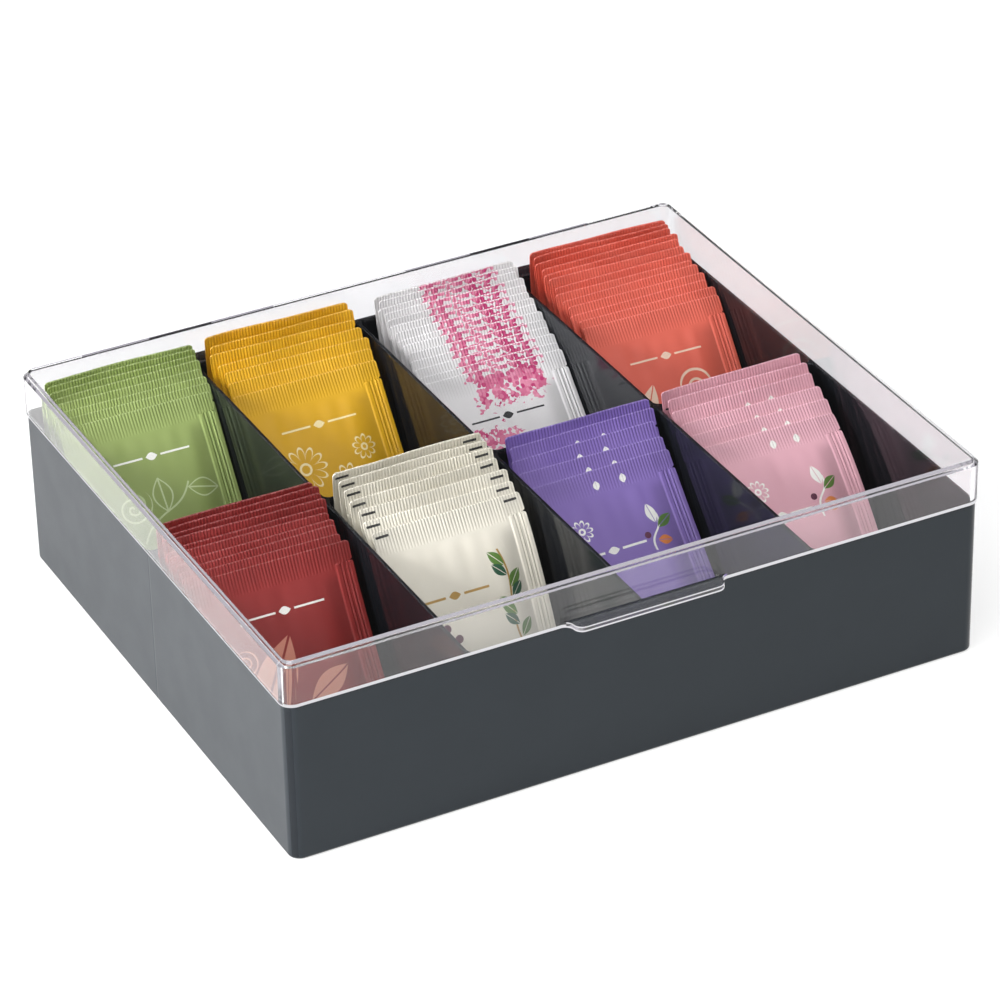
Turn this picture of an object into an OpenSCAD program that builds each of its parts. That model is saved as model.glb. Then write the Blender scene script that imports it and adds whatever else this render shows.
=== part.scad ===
// Tea bag organizer box: a charcoal tray with eight compartments, a clear hinged lid with a pull lip,
// two steel hinge pins, and the rows of sachets that lean in the compartments.
// The origin is at the centre of the tray's underside. +X runs to the right along the front,
// -Y points out of the front and +Z is up.

/* [Sachets] */
// Width of one sachet
sachet_w = 66; // [55:0.5:72]
// Height of one sachet from foot to top edge
sachet_h = 78; // [66:0.5:90]
// Thickness of the crimped ends of a sachet
crimp_t = 0.5; // [0.3:0.05:0.6]
// Greatest thickness of a filled sachet
bulge_t = 5.5; // [2:0.1:7]

/* [Tray] */
// Room in a compartment on each side of a sachet
side_room = 3.65; // [2:0.05:8]
// Depth of one compartment from front to back
pocket_d = 123.2; // [110:0.2:150]
// Height of the tray's rim
tray_h = 69.3; // [66:0.1:76]
// Thickness of the tray's outer walls and floor
tray_wall = 2; // [1.5:0.1:3]
// Thickness of the dividers
divider_t = 1.6; // [1.2:0.1:2.4]
// Radius of the tray's four upright corners
tray_corner_r = 5; // [4:0.5:10]
// Radius along the tray's bottom edge
tray_foot_r = 1.5; // [0.5:0.1:2.5]
// Radius at the bottom and corners of each compartment
pocket_r = 1.5; // [0.5:0.1:2.5]

/* [Lid] */
// Room between an upright sachet and the closed lid
head_room = 6.3; // [5:0.1:12]
// How far the lid stands out past the tray on each side
lid_overhang = 0.6; // [0:0.1:1.5]
// Thickness of the lid's top plate and skirt
lid_wall = 2.5; // [2:0.1:3]
// Height of the bevel along the lid's top edge
lid_bevel = 2.2; // [1:0.1:3]
// Inner radius along the lid's top edge
lid_inner_r = 0.6; // [0.5:0.1:3]

/* [Pull lip] */
// Width of the pull lip where it joins the skirt
lip_root_w = 72.6; // [50:0.2:90]
// Width of the pull lip's straight outer edge
lip_tip_w = 57.4; // [40:0.2:70]
// How far the pull lip stands out from the skirt
lip_reach = 6.8; // [5:0.1:9]
// Thickness of the pull lip
lip_t = 2.4; // [1.6:0.1:4]

/* [Hinges] */
// Diameter of the hinge pins
pin_d = 2; // [1.5:0.1:2.5]
// Radius of the hinge knuckles
knuckle_r = 3; // [2.5:0.1:3.5]
// Width of each clear hinge arm of the lid
arm_w = 28; // [15:1:32]
// Width of the tray's knuckle between two arms
tray_knuckle_w = 28.2; // [15:0.2:32]
// How far the hinge axis lies behind the tray's back wall
hinge_back = 4; // [3.8:0.1:5]
// How far the hinge axis lies below the rim
hinge_drop = 1; // [0:0.1:2]
// Widest angle that the lid opens to
open_angle = 105; // [90:1:110]

/* [Hidden] */

$fn = 64;
eps = 0.01;

// Compartments
columns = 4;
rows = 2;
pocket_w = sachet_w + 2 * side_room;
pocket_h = tray_h - tray_wall;
tray_w = columns * pocket_w + (columns - 1) * divider_t + 2 * tray_wall;
tray_d = rows * pocket_d + (rows - 1) * divider_t + 2 * tray_wall;
pocket_corner_r = max(pocket_r, tray_corner_r - tray_wall);

// Lid
lid_h = tray_wall + sachet_h + head_room + lid_wall - tray_h;
lid_w = tray_w + 2 * lid_overhang;
lid_d = tray_d + 2 * lid_overhang;
lid_corner_r = tray_corner_r + lid_overhang;
hollow_corner_r = max(lid_corner_r - lid_wall, lid_inner_r);

// Pull lip: each end is an S curve of two equal arcs between the skirt and the outer edge
lip_run = (lip_root_w - lip_tip_w) / 2;
lip_arc_r = (pow(lip_reach, 2) + pow(lip_run, 2)) / (4 * lip_reach);
lip_arc_sweep = 2 * atan(lip_reach / lip_run);
lip_arc_steps = 12;

// Hinges
hinge_y = tray_d / 2 + hinge_back;
hinge_z = tray_h - hinge_drop;
hinge_x = pocket_w + divider_t;
pin_running_gap = 0.05;
arm_side_gap = 0.4;
arm_x = tray_knuckle_w / 2 + arm_side_gap + arm_w / 2;
pin_end_inset = 0.5;
pin_length = 2 * (arm_x + arm_w / 2 - pin_end_inset);
arm_root_h = 5;
heel_gap = 0.1;
heel_reach = hinge_back - heel_gap;
heel_w = 2.5;
bracket_drop = 11;

// Sachets
sachet_gap = 0.3;
sachet_floor_gap = 0.4;
profile_steps = 14;
top_crimp = 0.13;
foot_crimp = 0.09;
sway = 0.137;
sway_turn = 137;

// One row of sachets each. rear and front place the top edges of the first and the last sachet:
// how far each lies from the back wall of the compartment, and how high over the foot, both as
// shares of the sachet's height. side is the row's shift as a share of the side room,
// and bow is how far the front sachet curls, as a share of its height.
function stack(column, row, count, rear, front, side, bow) =
  [column, row, count, rear, front, side, bow];
GREEN = stack(0, 1, 8, [-0.0295, 0.9949], [-0.25, 0.8218], 0.712, 0.0103);
YELLOW = stack(1, 1, 7, [-0.0295, 0.9923], [-0.3333, 0.7962], -0.055, 0.0038);
WHITE = stack(2, 1, 14, [-0.0295, 0.9756], [-0.5769, 0.7064], 0.712, 0);
RED = stack(3, 1, 13, [-0.0295, 0.9923], [-0.609, 0.8026], 0.438, 0.0179);
MAROON = stack(0, 0, 10, [-0.0128, 0.9795], [-0.3718, 0.8346], -0.082, -0.0154);
CREAM = stack(1, 0, 7, [-0.0128, 0.9949], [-0.4487, 0.8795], -0.411, 0.0385);
PURPLE = stack(2, 0, 5, [0.0026, 0.9115], [-0.2077, 0.7128], 0.164, -0.0103);
PINK = stack(3, 0, 6, [0.0026, 0.9244], [-0.359, 0.7577], -0.712, 0.0449);

function stack_count(s) = s[2];
function stack_x(s) =
  (s[0] - (columns - 1) / 2) * (pocket_w + divider_t) + s[5] * side_room;
function stack_back_y(s) = divider_t / 2 * (2 * s[1] - 1) + s[1] * pocket_d;

// Centre line of sachet i of a stack, from its foot at t = 0 to its top edge at t = 1
function along(s, i) = i / (stack_count(s) - 1);
function mix(a, b, t) = a + (b - a) * t;
foot_z = tray_wall + sachet_floor_gap;
function top_point(s, i) =
  [stack_back_y(s), foot_z] + sachet_h * mix(s[3], s[4], along(s, i));
function foot_point(s, i) =
  let (top = top_point(s, i), rise = top.y - foot_z)
  [top.x - sqrt(pow(sachet_h, 2) - pow(rise, 2)), foot_z];
function front_normal(s, i) =
  let (line = top_point(s, i) - foot_point(s, i))
  [-line.y, line.x] / norm(line);
function bow(s, i) = sachet_h * s[6] * along(s, i);
function centre_point(s, i, t) =
  mix(foot_point(s, i), top_point(s, i), t) + 4 * bow(s, i) * t * (1 - t) * front_normal(s, i);

// Room that sachet i has beside its nearest neighbour, and its half thickness there
function spacing(s, i, t) =
  abs((centre_point(s, i + 1, t) - centre_point(s, i, t)) * front_normal(s, i));
function room(s, i, t) =
  let (last = stack_count(s) - 1)
  min(spacing(s, min(i, last - 1), t), spacing(s, max(i - 1, 0), t)) - sachet_gap;
function fullness(t) =
  let (u = (t - foot_crimp) / (1 - foot_crimp - top_crimp))
  u <= 0 || u >= 1 ? 0 : pow(sin(180 * pow(u, 0.8)), 0.6);
function half_thickness(s, i, t) =
  (crimp_t + max(0, min(bulge_t, room(s, i, t)) - crimp_t) * fullness(t)) / 2;
function side_points(s, i, side) = [
  for (k = [0:profile_steps])
    let (t = k / profile_steps)
    centre_point(s, i, t) + side * half_thickness(s, i, t) * front_normal(s, i)
];
function reversed(points) = [for (k = [len(points) - 1:-1:0]) points[k]];
function sachet_profile(s, i) = concat(side_points(s, i, 1), reversed(side_points(s, i, -1)));

// Section with a radius at both top corners, or with a bevel there in its place
module top_edged_section(w, h, edge_r, bevel) {
  if (bevel > 0) {
    polygon([
      [-w / 2, 0],
      [w / 2, 0],
      [w / 2, h - bevel],
      [w / 2 - bevel, h],
      [-w / 2 + bevel, h],
      [-w / 2, h - bevel],
    ]);
  } else {
    translate([-w / 2, 0])
      square([w, h - edge_r]);
    translate([-w / 2 + edge_r, 0])
      square([w - 2 * edge_r, h]);
    for (side = [-1, 1])
      translate([side * (w / 2 - edge_r), h - edge_r])
        circle(r = edge_r);
  }
}

module top_edged_corner(h, corner_r, edge_r, bevel) {
  rotate_extrude()
    intersection() {
      top_edged_section(2 * corner_r, h, edge_r, bevel);
      square([corner_r, h]);
    }
}

// Block with rounded upright corners and that section, standing on z = 0
module top_edged_block(w, d, h, corner_r, edge_r = 0, bevel = 0) {
  straight_w = w - 2 * corner_r;
  straight_d = d - 2 * corner_r;
  rotate([90, 0, 0])
    linear_extrude(straight_d, center = true)
      top_edged_section(w, h, edge_r, bevel);
  rotate([90, 0, 90])
    linear_extrude(straight_w, center = true)
      top_edged_section(d, h, edge_r, bevel);
  for (x = [-1, 1], y = [-1, 1])
    translate([x * straight_w / 2, y * straight_d / 2, 0])
      top_edged_corner(h, corner_r, edge_r, bevel);
}

// The block upside down, with a radius along its bottom edge
module round_foot_block(w, d, h, corner_r, edge_r) {
  translate([0, 0, h])
    rotate([180, 0, 0])
      top_edged_block(w, d, h, corner_r, edge_r = edge_r);
}

module pockets() {
  for (column = [0:columns - 1], row = [0:rows - 1])
    translate([
      (column - (columns - 1) / 2) * (pocket_w + divider_t),
      (row - (rows - 1) / 2) * (pocket_d + divider_t),
      tray_wall,
    ])
      round_foot_block(pocket_w, pocket_d, pocket_h + 1, pocket_corner_r, pocket_r);
}

// Shapes across the back are drawn in the Y and Z plane and run along X
module along_x(length) {
  rotate([90, 0, 90])
    linear_extrude(length, center = true)
      children();
}

module knuckle_section() {
  translate([hinge_y, hinge_z])
    circle(r = knuckle_r);
}

module pin_bore(length, d) {
  translate([0, hinge_y, hinge_z])
    rotate([0, 90, 0])
      cylinder(h = length, d = d, center = true);
}

module tray_knuckle() {
  wall_y = tray_d / 2 - tray_wall / 2;
  slope_reach = knuckle_r * sin(45);
  along_x(tray_knuckle_w) {
    knuckle_section();
    polygon([
      [wall_y, hinge_z - bracket_drop],
      [wall_y, hinge_z],
      [hinge_y, hinge_z],
      [hinge_y + slope_reach, hinge_z - slope_reach],
    ]);
  }
}

module lid_arm() {
  root_y = lid_d / 2 - lid_wall / 2;
  skirt_y = lid_d / 2;
  heel_foot = [hinge_y, hinge_z] + heel_reach * [-cos(open_angle), -sin(open_angle)];
  heel_run = heel_w * [sin(open_angle), -cos(open_angle)];
  along_x(arm_w) {
    knuckle_section();
    polygon([
      [root_y, tray_h],
      [root_y, tray_h + arm_root_h],
      [skirt_y + 1, tray_h + arm_root_h],
      [hinge_y + knuckle_r * cos(60), hinge_z + knuckle_r * sin(60)],
      [hinge_y, hinge_z],
      [hinge_y - knuckle_r * cos(20), tray_h],
    ]);
    polygon([
      [hinge_y, hinge_z],
      heel_foot,
      heel_foot + heel_run,
      [hinge_y + knuckle_r * cos(20), hinge_z - knuckle_r * sin(20)],
    ]);
  }
}

// Points of the S curve at one end of the lip, from the skirt outwards
function lip_inner_arc() = [
  for (k = [0:lip_arc_steps])
    let (a = 90 + lip_arc_sweep * k / lip_arc_steps)
    [lip_root_w / 2 + lip_arc_r * cos(a), -lip_arc_r + lip_arc_r * sin(a)]
];
function lip_outer_arc() = [
  for (k = [1:lip_arc_steps])
    let (a = -90 + lip_arc_sweep * (1 - k / lip_arc_steps))
    [lip_tip_w / 2 + lip_arc_r * cos(a), -lip_reach + lip_arc_r + lip_arc_r * sin(a)]
];
function mirrored(points) = [for (p = points) [-p.x, p.y]];

module pull_lip() {
  right_end = concat(lip_inner_arc(), lip_outer_arc());
  root = [[-lip_root_w / 2, lid_wall / 2], [lip_root_w / 2, lid_wall / 2]];
  translate([0, -lid_d / 2, tray_h])
    linear_extrude(lip_t)
      polygon(concat(root, right_end, reversed(mirrored(right_end))));
}

module sachets(s, first, last) {
  for (i = [first:last])
    translate([stack_x(s) + sway * side_room * sin(sway_turn * i), 0, 0])
      along_x(sachet_w)
        polygon(sachet_profile(s, i));
}

module stack_behind(s) {
  sachets(s, 0, stack_count(s) - 2);
}

module front_sachet(s) {
  sachets(s, stack_count(s) - 1, stack_count(s) - 1);
}

// Sub-parts
module tray() {
  color("#3a3f44")
    difference() {
      union() {
        round_foot_block(tray_w, tray_d, tray_h, tray_corner_r, tray_foot_r);
        for (side = [-1, 1])
          translate([side * hinge_x, 0, 0])
            tray_knuckle();
      }
      pockets();
      for (side = [-1, 1])
        translate([side * hinge_x, 0, 0])
          pin_bore(tray_knuckle_w + 1, pin_d);
    }
}

module lid() {
  color("#e4e8ec", 0.4)
    difference() {
      union() {
        translate([0, 0, tray_h])
          top_edged_block(lid_w, lid_d, lid_h, lid_corner_r, bevel = lid_bevel);
        pull_lip();
        for (side = [-1, 1], end = [-1, 1])
          translate([side * hinge_x + end * arm_x, 0, 0])
            lid_arm();
      }
      translate([0, 0, tray_h - 1])
        top_edged_block(
          lid_w - 2 * lid_wall,
          lid_d - 2 * lid_wall,
          lid_h - lid_wall + 1,
          hollow_corner_r,
          edge_r = lid_inner_r
        );
      for (side = [-1, 1], end = [-1, 1])
        translate([side * hinge_x + end * arm_x, 0, 0])
          pin_bore(arm_w + 1, pin_d + 2 * pin_running_gap);
    }
}

module hinge_pin(side) {
  translate([side * hinge_x, 0, 0])
    pin_bore(pin_length, pin_d);
}

module hinge_pin_left() {
  color("#c4c6c8")
    hinge_pin(-1);
}

module hinge_pin_right() {
  color("#c4c6c8")
    hinge_pin(1);
}

module green_sachets() {
  color("#7f9c46")
    stack_behind(GREEN);
}

module green_front_sachet() {
  color("#8fad52")
    front_sachet(GREEN);
}

module yellow_sachets() {
  color("#dca127")
    stack_behind(YELLOW);
}

module yellow_front_sachet() {
  color("#e0b02b")
    front_sachet(YELLOW);
}

module white_sachets() {
  color("#d5d1ce")
    stack_behind(WHITE);
}

module white_front_sachet() {
  color("#dcdad8")
    front_sachet(WHITE);
}

module red_sachets() {
  color("#d8453a")
    stack_behind(RED);
}

module red_front_sachet() {
  color("#d4604f")
    front_sachet(RED);
}

module maroon_sachets() {
  color("#7c1f26")
    stack_behind(MAROON);
}

module maroon_front_sachet() {
  color("#96342f")
    front_sachet(MAROON);
}

module cream_sachets() {
  color("#d6d0bf")
    stack_behind(CREAM);
}

module cream_front_sachet() {
  color("#d5d3c6")
    front_sachet(CREAM);
}

module purple_sachets() {
  color("#6a519b")
    stack_behind(PURPLE);
}

module purple_front_sachet() {
  color("#6f58a0")
    front_sachet(PURPLE);
}

module pink_sachets() {
  color("#d294a8")
    stack_behind(PINK);
}

module pink_front_sachet() {
  color("#cf96a6")
    front_sachet(PINK);
}

tray();
lid();
hinge_pin_left();
hinge_pin_right();
green_sachets();
green_front_sachet();
yellow_sachets();
yellow_front_sachet();
white_sachets();
white_front_sachet();
red_sachets();
red_front_sachet();
maroon_sachets();
maroon_front_sachet();
cream_sachets();
cream_front_sachet();
purple_sachets();
purple_front_sachet();
pink_sachets();
pink_front_sachet();
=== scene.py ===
"""Looks for a tea bag organizer box: a charcoal tray, a clear lid, two pins and eight rows of tea sachets.

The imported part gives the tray, the lid and the pins, which get their finishes here. The plain sachets
are replaced by folded paper ones with crimped ends, side seals and printed fronts. Every size is in metres,
in the part's own frame: +X runs along the front, -Y points out of the front and +Z is up.
"""

import math
import random
from dataclasses import dataclass

import bpy
import numpy as np
from bpy.props import EnumProperty, FloatProperty, FloatVectorProperty, IntProperty, PointerProperty
from mathutils import Matrix, Vector


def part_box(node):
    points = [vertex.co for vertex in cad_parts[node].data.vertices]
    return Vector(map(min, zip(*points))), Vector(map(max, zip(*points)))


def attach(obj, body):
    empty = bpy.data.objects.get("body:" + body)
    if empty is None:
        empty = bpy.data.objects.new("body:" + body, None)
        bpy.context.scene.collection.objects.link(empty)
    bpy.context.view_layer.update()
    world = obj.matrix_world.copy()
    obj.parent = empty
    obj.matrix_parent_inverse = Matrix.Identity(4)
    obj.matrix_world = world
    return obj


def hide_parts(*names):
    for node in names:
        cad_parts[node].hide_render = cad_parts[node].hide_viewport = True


bl_info = {
    "name": "Tea Bag Organizer Box",
    "version": (1, 0, 0),
    "blender": (4, 5, 0),
    "location": "3D View > Sidebar > Tea Box",
    "description": "Finishes the tray and lid of a tea bag organizer box and fills it with sachets",
    "category": "Add Mesh",
}

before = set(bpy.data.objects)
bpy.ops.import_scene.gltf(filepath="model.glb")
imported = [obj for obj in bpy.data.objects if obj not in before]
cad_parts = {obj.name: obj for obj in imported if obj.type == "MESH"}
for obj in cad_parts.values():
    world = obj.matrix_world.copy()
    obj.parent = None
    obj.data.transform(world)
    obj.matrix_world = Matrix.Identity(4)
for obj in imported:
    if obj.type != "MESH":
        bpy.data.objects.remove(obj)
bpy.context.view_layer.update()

MM = 0.001
TRAY_LOW, TRAY_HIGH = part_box("tray")
_, LID_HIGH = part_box("lid")

# Heights of the tray's rim, which the lid's skirt stands on, and of the pull lip's top
RIM_Z = 69.3 * MM
LIP_TOP_Z = RIM_Z + 2.4 * MM

# The tray's outer skin and the width of its sink line
TRAY_SKIN = 0.6 * MM
SINK_WIDTH = 0.9 * MM

# Parts of the lid: how far in front of the tray its lip starts, the height of the lip's lit top edge,
# and the depth under its top that holds the bevel
LIP_FROM = 1.2 * MM
LIP_EDGE = 0.55 * MM
PLATE_BEVEL = 2.6 * MM

# Sizes of the box that the rows of sachets are set out from
COLUMNS = 4
TRAY_WALL = 2 * MM
DIVIDER = 1.6 * MM
COLUMN_PITCH = (TRAY_HIGH.x - TRAY_LOW.x - 2 * TRAY_WALL + DIVIDER) / COLUMNS
FOOT_Z = TRAY_WALL + 0.4 * MM

# Shares of a sachet's height, from its foot, where its crimped foot ends, its crimped top starts and its
# tear notch is, with half the notch's height
FOOT_CRIMP = 0.09
TOP_CRIMP = 0.87
NOTCH_AT = 0.9
NOTCH_REACH = 0.008

# Distances of the side seal's pressed grooves from the sachet's right edge
SEAL_GROOVES = (1.7 * MM, 3.7 * MM, 5.7 * MM)

# The most degrees that a sachet rolls, the most that it slips, and its worn corners' width and drop
MOST_ROLL = 0.8
MOST_SLIP = 0.25 * MM
CORNER_WIDTH = 1.5 * MM
CORNER_DROP = 0.9 * MM

# How fast the steps between a row's sachets grow towards its front, where 1 keeps them even
SPREAD = 1.15

SHEET_MAP = "sheet"
ROW_SHADE_AND_TONE = "tone"


@dataclass
class SachetRow:
    """One compartment's row of sachets: its column and rank, how many it holds and how they lean.

    rear and front place the top edges of its first and last sachet: the distance from the compartment's
    back wall and the height over the foot, as shares of a sachet's height. side is the row's shift as a
    share of the side room, and bow is how far the front sachet curls, as a share of its height.
    """

    column: int
    rank: int
    count: int
    rear: tuple
    front: tuple
    side: float
    bow: float

    def along(self, i):
        """Share of the way to the front sachet, which the rear ones start out on in smaller steps."""
        return (i / (self.count - 1)) ** SPREAD

    def middle_x(self, sizes):
        """X of the row's middle."""
        return (self.column - (COLUMNS - 1) / 2) * COLUMN_PITCH + self.side * sizes.side_room

    def top(self, i, sizes):
        """Y and Z of the top edge of sachet i."""
        back_y = DIVIDER / 2 * (2 * self.rank - 1) + self.rank * sizes.pocket_depth
        share = self.rear + np.subtract(self.front, self.rear) * self.along(i)
        return np.array([back_y, FOOT_Z]) + sizes.height * share

    def foot(self, i, sizes):
        """Y and Z of the foot of sachet i."""
        top = self.top(i, sizes)
        run = math.sqrt(sizes.height**2 - (top[1] - FOOT_Z) ** 2)
        return np.array([top[0] - run, FOOT_Z])

    def lean(self, i, sizes):
        """The directions up along sachet i and out of its front, in Y and Z."""
        up = self.top(i, sizes) - self.foot(i, sizes)
        up /= np.linalg.norm(up)
        return up, np.array([-up[1], up[0]])

    def centre(self, i, heights, sizes):
        """Points of the centre line of sachet i at shares of its height."""
        foot = self.foot(i, sizes)
        _, out = self.lean(i, sizes)
        bow = sizes.height * self.bow * self.along(i)
        line = foot + np.outer(heights, self.top(i, sizes) - foot)
        return line + np.outer(4 * bow * heights * (1 - heights), out)

    def room(self, i, heights, sizes):
        """Room that sachet i has beside its nearest neighbour at shares of its height."""
        _, out = self.lean(i, sizes)
        here = self.centre(i, heights, sizes)
        neighbours = [n for n in (i - 1, i + 1) if 0 <= n < self.count]
        gaps = [np.abs((self.centre(n, heights, sizes) - here) @ out) for n in neighbours]
        return np.minimum.reduce(gaps) - sizes.gap


ROWS = {
    "green": SachetRow(0, 1, 8, (-0.0295, 0.9949), (-0.25, 0.8218), 0.712, 0.0103),
    "yellow": SachetRow(1, 1, 7, (-0.0295, 0.9923), (-0.3333, 0.7962), -0.055, 0.0038),
    "white": SachetRow(2, 1, 14, (-0.0295, 0.9756), (-0.5769, 0.7064), 0.712, 0.0),
    "red": SachetRow(3, 1, 13, (-0.0295, 0.9923), (-0.609, 0.8026), 0.438, 0.0179),
    "maroon": SachetRow(0, 0, 10, (-0.0128, 0.9795), (-0.3718, 0.8346), -0.082, -0.0154),
    "cream": SachetRow(1, 0, 7, (-0.0128, 0.9949), (-0.4487, 0.8795), -0.411, 0.0385),
    "purple": SachetRow(2, 0, 5, (0.0026, 0.9115), (-0.2077, 0.7128), 0.164, -0.0103),
    "pink": SachetRow(3, 0, 6, (0.0026, 0.9244), (-0.359, 0.7577), -0.712, 0.0449),
}


def measure(name, description, default):
    """A length setting, given in millimetres and kept in metres."""
    return FloatProperty(
        name=name, description=description, default=default * MM, unit="LENGTH", precision=5, min=0
    )


def number(name, description, default, low=0, high=1):
    """A setting without a unit, from 0 to 1 unless it says otherwise."""
    return FloatProperty(name=name, description=description, default=default, min=low, max=high)


def degrees(name, description, default):
    """An angle setting, given in degrees and kept in radians."""
    return FloatProperty(name=name, description=description, default=math.radians(default), subtype="ANGLE")


def watts(name, description, default):
    """A setting for a lamp's power."""
    return FloatProperty(name=name, description=description, default=default, unit="POWER", min=0)


def colour(name, description, default):
    """A colour setting."""
    return FloatVectorProperty(
        name=name, description=description, default=default, subtype="COLOR", size=3, min=0, max=1
    )


class TeaBoxPlastics(bpy.types.PropertyGroup):
    """Finishes of the tray, the lid and the pins."""

    tray_satin: colour("Tray outside", "Colour of the satin charcoal plastic", (0.011, 0.0135, 0.0165))
    tray_polish: colour("Tray inside", "Colour of the polished charcoal plastic", (0.006, 0.007, 0.0088))
    tray_outside: number("Outside roughness", "Roughness of the satin outside", 0.34)
    tray_inside: number("Inside roughness", "Roughness of the polished inside", 0.09)
    tray_ior: number("Tray refraction", "Index of refraction of the charcoal plastic", 1.4, 1, 2)
    tray_sheen: colour("Tray sheen", "Tint of the charcoal plastic's sheen", (0.82, 0.92, 1.0))
    sink_depth: measure("Sink line", "Depth of the line outside the divider", 0.06)
    lid_tint: colour("Lid", "Tint of the clear plastic", (0.975, 0.972, 0.985))
    lid_ior: number("Lid refraction", "Index of refraction of the clear plastic", 1.52, 1, 2)
    # edge_light, rim_colour and rim_light set painted glows on the lid, and bevel_colour and bevel_shade its
    # painted dark edge
    edge_light: colour("Edge light", "Light that the plastic carries to its edges", (0.50, 0.48, 0.53))
    rim_colour: colour("Rim", "Light of the lit rim along the foot of the skirt", (0.86, 0.85, 0.88))
    rim_light: number("Rim light", "Share of that light in the look of the rim", 0.85)
    rim_height: measure("Rim height", "Height of the lit rim along the front skirt's foot", 1.4)
    bevel_colour: colour("Bevel", "Dark look of the lid's top edges from inside", (0.13, 0.13, 0.14))
    bevel_shade: number("Bevel shade", "Share of that dark look on the lid's top edges", 0.75)
    edge_break: measure("Edge break", "Width of the rounding on the mouldings' edges", 0.4)
    pin_colour: colour("Pins", "Colour of the steel wire", (0.62, 0.62, 0.63))


class TeaBoxSachets(bpy.types.PropertyGroup):
    """Sizes of the sachets and of the compartments that they stand in."""

    width: measure("Width", "Width of a sachet", 66)
    height: measure("Height", "Height of a sachet", 79)
    crimp_t: measure("Crimp thickness", "Thickness of the crimped ends", 0.5)
    bulge_t: measure("Bulge", "Greatest thickness of a filled sachet", 5.5)
    puff: measure("Puff", "How much further a row's front sachet bulges at its front", 1.2)
    gap: measure("Gap", "Gap between two neighbours", 0.3)
    side_room: measure("Side room", "Room on each side of a sachet", 3.65)
    pocket_depth: measure("Compartment depth", "Depth of a compartment", 123.2)
    rib_pitch: measure("Rib pitch", "Distance between two ribs of a crimped end", 1.35)
    rib_depth: measure("Rib depth", "Height of the ribs along the cut top edge", 0.13)
    seal_w: measure("Side seal", "Width of the folded seal along the right edge", 8)
    seal_t: measure("Seal step", "How far the side seal stands proud", 0.35)
    seal_bend: number("Seal bend", "How steeply a front sachet's side seal falls away to the back", 0.12)
    fold_shade: number("Fold shade", "How much darker the fold beside the side seal looks", 0.3)
    depth_shade: number("Depth shade", "How much darker the foot of a compartment makes the paper", 0.25)
    notch: measure("Tear notch", "Depth of the tear notch in the right edge", 1.1)
    pucker: measure("Pucker", "Depth of the small folds below the crimp", 0.28)
    dent: measure("Dents", "Depth of the soft dents in a front panel", 0.5)
    curl: measure("Corner curl", "How far a loose top corner curls forward", 1.6)
    seed: IntProperty(name="Seed", description="Start of the sachets' small differences", default=7, min=0)


class TeaBoxPapers(bpy.types.PropertyGroup):
    """Colours of the eight printed papers."""

    green: colour("Green", "Leaf green paper", (0.26, 0.34, 0.10))
    yellow: colour("Yellow", "Golden yellow paper", (0.67, 0.375, 0.008))
    white: colour("White", "Cool white paper", (0.73, 0.72, 0.705))
    red: colour("Red", "Coral red paper", (0.69, 0.125, 0.079))
    maroon: colour("Maroon", "Maroon paper", (0.25, 0.024, 0.021))
    cream: colour("Cream", "Cream paper", (0.72, 0.69, 0.575))
    purple: colour("Purple", "Violet paper", (0.215, 0.146, 0.42))
    pink: colour("Pink", "Pale pink paper", (0.69, 0.38, 0.43))


class TeaBoxStudio(bpy.types.PropertyGroup):
    """Camera and lights."""

    azimuth: degrees("Azimuth", "Camera's turn towards -X", 26.644)
    elevation: degrees("Elevation", "Camera's height as an angle", 31.31)
    roll: degrees("Roll", "Camera's turn about its view", -1.379)
    distance: measure("Distance", "Camera's distance from the box", 1878.6)
    lens: number("Lens", "Focal length in millimetres", 167.24, 1, 500)
    shift: FloatVectorProperty(
        name="Shift", description="Sideways and upward shift of the view", default=(0.0065, 0.0062), size=2
    )
    overhead_softbox: watts("Overhead", "Power of the softbox above", 8.0)
    overhead_strip: watts("Strip", "Power of the narrow lamp above, which the lid's edges catch", 6.0)
    left_softbox: watts("Left", "Power of the low softbox on the left", 60.0)
    back_softbox: watts("Back", "Power of the softbox behind on the left", 6.0)
    front_softbox: watts("Front", "Power of the softbox in front on the right", 3.0)
    key_softbox: watts("Key", "Power of the softbox in front on the left", 12.0)
    walls: number("Walls", "Brightness of the studio's walls", 0.36)
    floor_colour: colour("Floor", "Colour of the pale floor", (0.94, 0.94, 0.94))


def feed(tree, node, inputs):
    """Links a node's inputs to sockets, and sets those that get any other value."""
    for name, value in inputs.items():
        socket = node.inputs[name]
        if isinstance(value, bpy.types.NodeSocket):
            tree.links.new(value, socket)
        else:
            socket.default_value = (*value, 1) if socket.type == "RGBA" else value


def add_node(tree, kind, *values, **settings):
    """A new shader node with its first inputs in order and its settings, such as an operation."""
    node = tree.nodes.new(kind)
    for name, value in settings.items():
        setattr(node, name, value)
    feed(tree, node, dict(enumerate(values)))
    return node


def math_node(tree, operation, a, b=0.0, clamp=False):
    return add_node(tree, "ShaderNodeMath", a, b, operation=operation, use_clamp=clamp).outputs[0]


def mixed_colour(tree, share, a, b):
    """Colour a with colour b over it by a share."""
    node = add_node(tree, "ShaderNodeMix", share, data_type="RGBA")
    feed(tree, node, {6: a, 7: b})
    return node.outputs[2]


def all_of(tree, *masks):
    """Masks or shares multiplied together, which is 1 only where every one is."""
    joined = masks[0]
    for mask in masks[1:]:
        joined = math_node(tree, "MULTIPLY", joined, mask)
    return joined


def split_xyz(tree, vector):
    """X, Y and Z of a vector."""
    return add_node(tree, "ShaderNodeSeparateXYZ", vector).outputs


def ranged(tree, value, low, high, to_low=0.0, to_high=1.0):
    """value from low to high, spread smoothly over to_low to to_high."""
    limits = (low, high, to_low, to_high)
    return add_node(tree, "ShaderNodeMapRange", value, *limits, interpolation_type="SMOOTHSTEP").outputs[0]


def noise(tree, place, scale, detail=2.0):
    node = add_node(tree, "ShaderNodeTexNoise", place)
    feed(tree, node, {"Scale": scale, "Detail": detail})
    return node.outputs["Fac"]


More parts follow.
